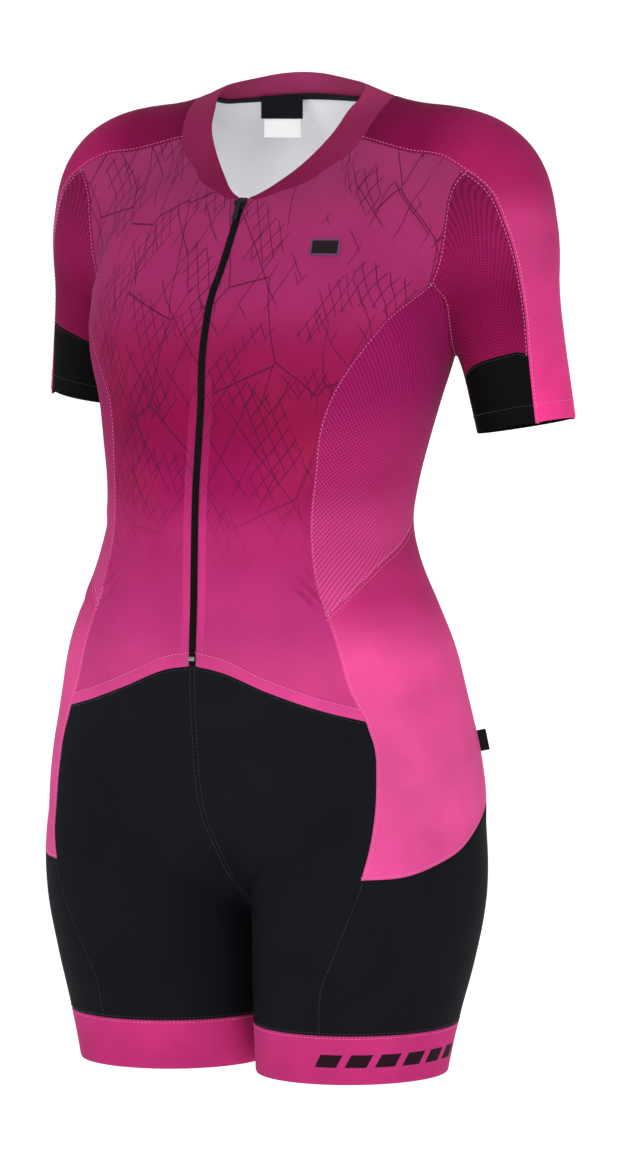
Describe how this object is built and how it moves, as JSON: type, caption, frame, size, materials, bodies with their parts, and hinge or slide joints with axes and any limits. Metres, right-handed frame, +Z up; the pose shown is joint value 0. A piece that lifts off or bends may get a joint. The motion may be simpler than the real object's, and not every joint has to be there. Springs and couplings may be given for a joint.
{
  "type": "women's cycling skinsuit",
  "caption": "Women's short-sleeved cycling skinsuit in worn form, hollow and open at neck, cuffs and legs, with a full front zip and a hinged pull tab.",
  "frame": {"origin": "between the wearer's shoulders at shoulder height, where the wearer's shoulders hold the suit", "axes": "+Z up, -Y out of the chest, +X towards the wearer's left"},
  "size_m": [0.5054, 0.2683, 0.8455],
  "materials": {
    "print_cloth": "printed polyester knit, satin",
    "mesh_cloth": "dyed polyester mesh, matt",
    "back_cloth": "dyed polyester knit, matt",
    "pink_cloth": "polyester knit, satin",
    "black_cloth": "elastane knit, satin",
    "gripper_cloth": "elastic gripper knit, satin",
    "zip": "nylon coil zip on woven tape",
    "slider_metal": "black painted zinc",
    "pull_tab": "black moulded pull tab",
    "stop_metal": "bare metal bottom stop",
    "patch_film": "heat bonded film, bare",
    "black_tape": "woven tape",
    "white_satin": "white satin label, bare"
  },
  "bodies": {
    "suit": {"front_left": "print_cloth", "front_right": "print_cloth", "front_hem_left": "print_cloth", "front_hem_right": "print_cloth", "side_mesh_left": "mesh_cloth", "side_mesh_right": "mesh_cloth", "sleeve_left": "mesh_cloth", "sleeve_right": "mesh_cloth", "back": "back_cloth", "hip_left": "pink_cloth", "hip_right": "pink_cloth", "lower_back": "pink_cloth", "shoulder_stripe_left": "pink_cloth", "shoulder_stripe_right": "pink_cloth", "collar": "pink_cloth", "shorts_front_left": "black_cloth", "shorts_front_right": "black_cloth", "shorts_side_left": "black_cloth", "shorts_side_right": "black_cloth", "shorts_back_left": "black_cloth", "shorts_back_right": "black_cloth", "cuff_left": "black_cloth", "cuff_right": "black_cloth", "gripper_left": "gripper_cloth", "gripper_right": "gripper_cloth", "zip_chain": "zip", "zip_slider": "slider_metal", "zip_bottom_stop": "stop_metal", "chest_patch": "patch_film", "side_tag": "black_tape", "neck_tape": "black_tape", "neck_label": "black_tape", "care_label": "white_satin"},
    "zip_pull": {"zip_pull": "pull_tab"}
  },
  "joints": [
    {"name": "zip_pull_hinge", "type": "hinge", "parent": "suit", "child": "zip_pull", "pos_m": [0, -0.09741, -0.07684], "axis": [-1, 0, 0], "range_deg": [0, 150]}
  ]
}
